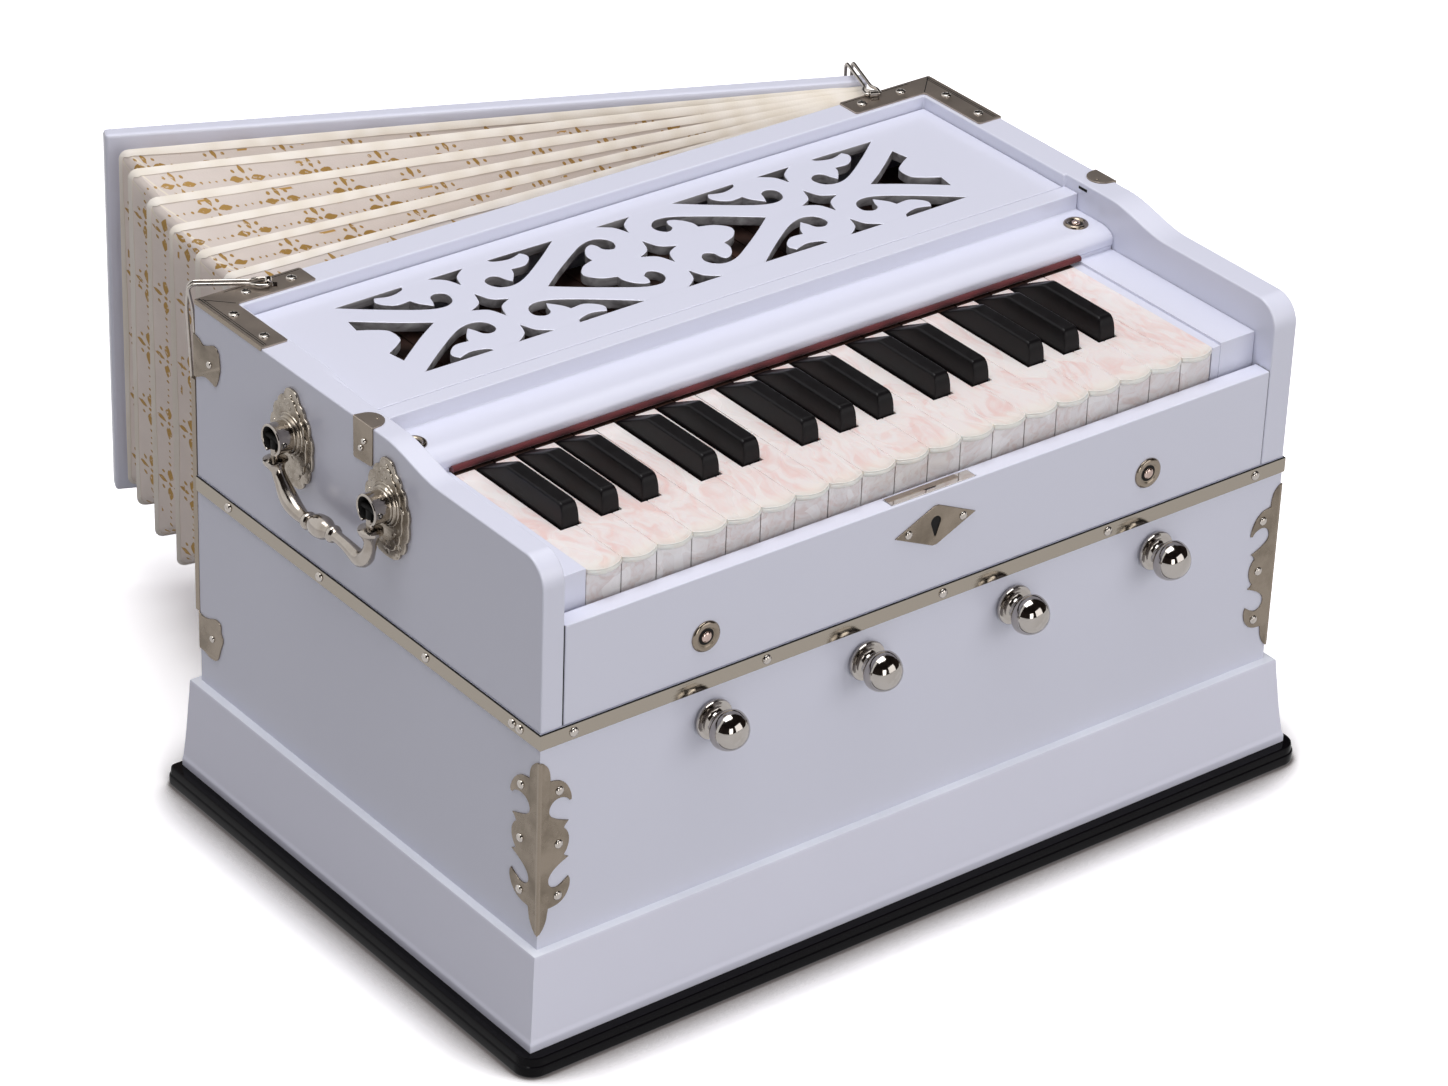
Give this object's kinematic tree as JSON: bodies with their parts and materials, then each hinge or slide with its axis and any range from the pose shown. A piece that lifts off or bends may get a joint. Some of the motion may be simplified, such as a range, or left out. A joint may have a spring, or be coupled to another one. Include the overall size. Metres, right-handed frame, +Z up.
{
  "type": "indian harmonium",
  "caption": "Portable hand-pumped reed organ: cased keyboard, pierced lid, stop knobs, side handles and fan bellows at the back, shown open.",
  "frame": {"origin": "middle of the case's footprint, on the underside of the base board", "axes": "+X to the player's right along the keyboard, +Y away from the player towards the bellows, +Z up"},
  "size_m": [0.559, 0.5696, 0.3164],
  "materials": {
    "case_lacquer": "gloss lacquer",
    "base_lacquer": "gloss lacquer",
    "dark_wood": "satin varnish",
    "raw_wood": "bare",
    "key_pearl": "celluloid on wood",
    "key_ebony": "satin black",
    "knob_nickel": "polished nickel plate",
    "nickel": "worn nickel plate",
    "bellows_paper": "printed paper",
    "felt_red": "felt"
  },
  "bodies": {
    "case": {"base_board": "base_lacquer", "plinth": "case_lacquer", "lower_case": "case_lacquer", "upper_case": "case_lacquer", "key_slip": "case_lacquer", "trim_band": "nickel", "name_rail": "case_lacquer", "key_frame": "dark_wood", "reed_board": "raw_wood", "top_bracket_left": "nickel", "top_bracket_right": "nickel", "handle_socket_left_rear": "nickel", "handle_socket_left_front": "nickel", "handle_socket_right_rear": "nickel", "handle_socket_right_front": "nickel", "hinge_batten": "dark_wood", "bellows_folds": "bellows_paper"},
    "white_key_1": {"white_key_1": "key_pearl"},
    "white_key_2": {"white_key_2": "key_pearl"},
    "white_key_3": {"white_key_3": "key_pearl"},
    "white_key_4": {"white_key_4": "key_pearl"},
    "white_key_5": {"white_key_5": "key_pearl"},
    "white_key_6": {"white_key_6": "key_pearl"},
    "white_key_7": {"white_key_7": "key_pearl"},
    "white_key_8": {"white_key_8": "key_pearl"},
    "white_key_9": {"white_key_9": "key_pearl"},
    "white_key_10": {"white_key_10": "key_pearl"},
    "white_key_11": {"white_key_11": "key_pearl"},
    "white_key_12": {"white_key_12": "key_pearl"},
    "white_key_13": {"white_key_13": "key_pearl"},
    "white_key_14": {"white_key_14": "key_pearl"},
    "white_key_15": {"white_key_15": "key_pearl"},
    "white_key_16": {"white_key_16": "key_pearl"},
    "white_key_17": {"white_key_17": "key_pearl"},
    "white_key_18": {"white_key_18": "key_pearl"},
    "white_key_19": {"white_key_19": "key_pearl"},
    "sharp_key_1": {"sharp_key_1": "key_ebony"},
    "sharp_key_2": {"sharp_key_2": "key_ebony"},
    "sharp_key_3": {"sharp_key_3": "key_ebony"},
    "sharp_key_4": {"sharp_key_4": "key_ebony"},
    "sharp_key_5": {"sharp_key_5": "key_ebony"},
    "sharp_key_6": {"sharp_key_6": "key_ebony"},
    "sharp_key_7": {"sharp_key_7": "key_ebony"},
    "sharp_key_8": {"sharp_key_8": "key_ebony"},
    "sharp_key_9": {"sharp_key_9": "key_ebony"},
    "sharp_key_10": {"sharp_key_10": "key_ebony"},
    "sharp_key_11": {"sharp_key_11": "key_ebony"},
    "sharp_key_12": {"sharp_key_12": "key_ebony"},
    "sharp_key_13": {"sharp_key_13": "key_ebony"},
    "stop_knob_1": {"stop_knob_1": "knob_nickel"},
    "stop_knob_2": {"stop_knob_2": "knob_nickel"},
    "stop_knob_3": {"stop_knob_3": "knob_nickel"},
    "stop_knob_4": {"stop_knob_4": "knob_nickel"},
    "lid": {"fret_lid": "case_lacquer"},
    "bellows": {"bellows_board": "case_lacquer"},
    "reservoir": {"reservoir": "dark_wood"},
    "handle_left": {"handle_left": "nickel"},
    "latch_left": {"latch_left": "nickel"},
    "handle_right": {"handle_right": "nickel"},
    "latch_right": {"latch_right": "nickel"}
  },
  "joints": [
    {"name": "stop_knob_1_pull", "type": "slide", "parent": "case", "child": "stop_knob_1", "axis": [0, -1, 0], "range_m": [0, 0.018]},
    {"name": "stop_knob_2_pull", "type": "slide", "parent": "case", "child": "stop_knob_2", "axis": [0, -1, 0], "range_m": [0, 0.018]},
    {"name": "stop_knob_3_pull", "type": "slide", "parent": "case", "child": "stop_knob_3", "axis": [0, -1, 0], "range_m": [0, 0.018]},
    {"name": "stop_knob_4_pull", "type": "slide", "parent": "case", "child": "stop_knob_4", "axis": [0, -1, 0], "range_m": [0, 0.018]},
    {"name": "lid_hinge", "type": "hinge", "parent": "case", "child": "lid", "pos_m": [0, 0.141, 0.3005], "axis": [-1, 0, 0], "range_deg": [0, 88]},
    {"name": "bellows_swing", "type": "hinge", "parent": "case", "child": "bellows", "pos_m": [0.238, 0.179, 0.19025], "axis": [0, 0, 1], "range_deg": [-6, 23], "stiffness_Nm_per_rad": 3, "deforming": ["bellows_folds"]},
    {"name": "reservoir_fill", "type": "slide", "parent": "case", "child": "reservoir", "axis": [0, 0, -1], "range_m": [0, 0.03], "stiffness_N_per_m": 400, "springref_m": -0.03},
    {"name": "handle_left_swing", "type": "hinge", "parent": "case", "child": "handle_left", "pos_m": [-0.272, 0.0195, 0.274], "axis": [0, 1, 0], "range_deg": [0, 80]},
    {"name": "handle_right_swing", "type": "hinge", "parent": "case", "child": "handle_right", "pos_m": [0.272, 0.0195, 0.274], "axis": [0, -1, 0], "range_deg": [0, 80]},
    {"name": "latch_left_lift", "type": "hinge", "parent": "case", "child": "latch_left", "pos_m": [-0.217, 0.155, 0.314], "axis": [0.525, 0.8511, 0], "range_deg": [0, 100]},
    {"name": "latch_right_lift", "type": "hinge", "parent": "case", "child": "latch_right", "pos_m": [0.2133, 0.1585, 0.314], "axis": [0.9352, -0.3541, 0], "range_deg": [0, 100]},
    {"name": "white_key_1_press", "type": "hinge", "parent": "case", "child": "white_key_1", "pos_m": [-0.215, 0.036, 0.265], "axis": [1, 0, 0], "range_deg": [0, 2.5], "stiffness_Nm_per_rad": 0.6, "springref_deg": -28.65},
    {"name": "white_key_2_press", "type": "hinge", "parent": "case", "child": "white_key_2", "pos_m": [-0.189, 0.036, 0.265], "axis": [1, 0, 0], "range_deg": [0, 2.5], "stiffness_Nm_per_rad": 0.6, "springref_deg": -28.65},
    {"name": "white_key_3_press", "type": "hinge", "parent": "case", "child": "white_key_3", "pos_m": [-0.163, 0.036, 0.265], "axis": [1, 0, 0], "range_deg": [0, 2.5], "stiffness_Nm_per_rad": 0.6, "springref_deg": -28.65},
    {"name": "white_key_4_press", "type": "hinge", "parent": "case", "child": "white_key_4", "pos_m": [-0.137, 0.036, 0.265], "axis": [1, 0, 0], "range_deg": [0, 2.5], "stiffness_Nm_per_rad": 0.6, "springref_deg": -28.65},
    {"name": "white_key_5_press", "type": "hinge", "parent": "case", "child": "white_key_5", "pos_m": [-0.12367, 0.036, 0.265], "axis": [1, 0, 0], "range_deg": [0, 2.5], "stiffness_Nm_per_rad": 0.6, "springref_deg": -28.65},
    {"name": "white_key_6_press", "type": "hinge", "parent": "case", "child": "white_key_6", "pos_m": [-0.09638, 0.036, 0.265], "axis": [1, 0, 0], "range_deg": [0, 2.5], "stiffness_Nm_per_rad": 0.6, "springref_deg": -28.65},
    {"name": "white_key_7_press", "type": "hinge", "parent": "case", "child": "white_key_7", "pos_m": [-0.06907, 0.036, 0.265], "axis": [1, 0, 0], "range_deg": [0, 2.5], "stiffness_Nm_per_rad": 0.6, "springref_deg": -28.65},
    {"name": "white_key_8_press", "type": "hinge", "parent": "case", "child": "white_key_8", "pos_m": [-0.05575, 0.036, 0.265], "axis": [1, 0, 0], "range_deg": [0, 2.5], "stiffness_Nm_per_rad": 0.6, "springref_deg": -28.65},
    {"name": "white_key_9_press", "type": "hinge", "parent": "case", "child": "white_key_9", "pos_m": [-0.02975, 0.036, 0.265], "axis": [1, 0, 0], "range_deg": [0, 2.5], "stiffness_Nm_per_rad": 0.6, "springref_deg": -28.65},
    {"name": "white_key_10_press", "type": "hinge", "parent": "case", "child": "white_key_10", "pos_m": [-0.00375, 0.036, 0.265], "axis": [1, 0, 0], "range_deg": [0, 2.5], "stiffness_Nm_per_rad": 0.6, "springref_deg": -28.65},
    {"name": "white_key_11_press", "type": "hinge", "parent": "case", "child": "white_key_11", "pos_m": [0.02225, 0.036, 0.265], "axis": [1, 0, 0], "range_deg": [0, 2.5], "stiffness_Nm_per_rad": 0.6, "springref_deg": -28.65},
    {"name": "white_key_12_press", "type": "hinge", "parent": "case", "child": "white_key_12", "pos_m": [0.03558, 0.036, 0.265], "axis": [1, 0, 0], "range_deg": [0, 2.5], "stiffness_Nm_per_rad": 0.6, "springref_deg": -28.65},
    {"name": "white_key_13_press", "type": "hinge", "parent": "case", "child": "white_key_13", "pos_m": [0.06288, 0.036, 0.265], "axis": [1, 0, 0], "range_deg": [0, 2.5], "stiffness_Nm_per_rad": 0.6, "springref_deg": -28.65},
    {"name": "white_key_14_press", "type": "hinge", "parent": "case", "child": "white_key_14", "pos_m": [0.09018, 0.036, 0.265], "axis": [1, 0, 0], "range_deg": [0, 2.5], "stiffness_Nm_per_rad": 0.6, "springref_deg": -28.65},
    {"name": "white_key_15_press", "type": "hinge", "parent": "case", "child": "white_key_15", "pos_m": [0.1035, 0.036, 0.265], "axis": [1, 0, 0], "range_deg": [0, 2.5], "stiffness_Nm_per_rad": 0.6, "springref_deg": -28.65},
    {"name": "white_key_16_press", "type": "hinge", "parent": "case", "child": "white_key_16", "pos_m": [0.1295, 0.036, 0.265], "axis": [1, 0, 0], "range_deg": [0, 2.5], "stiffness_Nm_per_rad": 0.6, "springref_deg": -28.65},
    {"name": "white_key_17_press", "type": "hinge", "parent": "case", "child": "white_key_17", "pos_m": [0.1555, 0.036, 0.265], "axis": [1, 0, 0], "range_deg": [0, 2.5], "stiffness_Nm_per_rad": 0.6, "springref_deg": -28.65},
    {"name": "white_key_18_press", "type": "hinge", "parent": "case", "child": "white_key_18", "pos_m": [0.1815, 0.036, 0.265], "axis": [1, 0, 0], "range_deg": [0, 2.5], "stiffness_Nm_per_rad": 0.6, "springref_deg": -28.65},
    {"name": "white_key_19_press", "type": "hinge", "parent": "case", "child": "white_key_19", "pos_m": [0.19937, 0.036, 0.265], "axis": [1, 0, 0], "range_deg": [0, 2.5], "stiffness_Nm_per_rad": 0.6, "springref_deg": -28.65},
    {"name": "sharp_key_1_press", "type": "hinge", "parent": "case", "child": "sharp_key_1", "pos_m": [-0.202, 0.036, 0.265], "axis": [1, 0, 0], "range_deg": [0, 2.5], "stiffness_Nm_per_rad": 0.6, "springref_deg": -28.65},
    {"name": "sharp_key_2_press", "type": "hinge", "parent": "case", "child": "sharp_key_2", "pos_m": [-0.176, 0.036, 0.265], "axis": [1, 0, 0], "range_deg": [0, 2.5], "stiffness_Nm_per_rad": 0.6, "springref_deg": -28.65},
    {"name": "sharp_key_3_press", "type": "hinge", "parent": "case", "child": "sharp_key_3", "pos_m": [-0.15, 0.036, 0.265], "axis": [1, 0, 0], "range_deg": [0, 2.5], "stiffness_Nm_per_rad": 0.6, "springref_deg": -28.65},
    {"name": "sharp_key_4_press", "type": "hinge", "parent": "case", "child": "sharp_key_4", "pos_m": [-0.11002, 0.036, 0.265], "axis": [1, 0, 0], "range_deg": [0, 2.5], "stiffness_Nm_per_rad": 0.6, "springref_deg": -28.65},
    {"name": "sharp_key_5_press", "type": "hinge", "parent": "case", "child": "sharp_key_5", "pos_m": [-0.08273, 0.036, 0.265], "axis": [1, 0, 0], "range_deg": [0, 2.5], "stiffness_Nm_per_rad": 0.6, "springref_deg": -28.65},
    {"name": "sharp_key_6_press", "type": "hinge", "parent": "case", "child": "sharp_key_6", "pos_m": [-0.04275, 0.036, 0.265], "axis": [1, 0, 0], "range_deg": [0, 2.5], "stiffness_Nm_per_rad": 0.6, "springref_deg": -28.65},
    {"name": "sharp_key_7_press", "type": "hinge", "parent": "case", "child": "sharp_key_7", "pos_m": [-0.01675, 0.036, 0.265], "axis": [1, 0, 0], "range_deg": [0, 2.5], "stiffness_Nm_per_rad": 0.6, "springref_deg": -28.65},
    {"name": "sharp_key_8_press", "type": "hinge", "parent": "case", "child": "sharp_key_8", "pos_m": [0.00925, 0.036, 0.265], "axis": [1, 0, 0], "range_deg": [0, 2.5], "stiffness_Nm_per_rad": 0.6, "springref_deg": -28.65},
    {"name": "sharp_key_9_press", "type": "hinge", "parent": "case", "child": "sharp_key_9", "pos_m": [0.04922, 0.036, 0.265], "axis": [1, 0, 0], "range_deg": [0, 2.5], "stiffness_Nm_per_rad": 0.6, "springref_deg": -28.65},
    {"name": "sharp_key_10_press", "type": "hinge", "parent": "case", "child": "sharp_key_10", "pos_m": [0.07652, 0.036, 0.265], "axis": [1, 0, 0], "range_deg": [0, 2.5], "stiffness_Nm_per_rad": 0.6, "springref_deg": -28.65},
    {"name": "sharp_key_11_press", "type": "hinge", "parent": "case", "child": "sharp_key_11", "pos_m": [0.1165, 0.036, 0.265], "axis": [1, 0, 0], "range_deg": [0, 2.5], "stiffness_Nm_per_rad": 0.6, "springref_deg": -28.65},
    {"name": "sharp_key_12_press", "type": "hinge", "parent": "case", "child": "sharp_key_12", "pos_m": [0.1425, 0.036, 0.265], "axis": [1, 0, 0], "range_deg": [0, 2.5], "stiffness_Nm_per_rad": 0.6, "springref_deg": -28.65},
    {"name": "sharp_key_13_press", "type": "hinge", "parent": "case", "child": "sharp_key_13", "pos_m": [0.1685, 0.036, 0.265], "axis": [1, 0, 0], "range_deg": [0, 2.5], "stiffness_Nm_per_rad": 0.6, "springref_deg": -28.65}
  ]
}
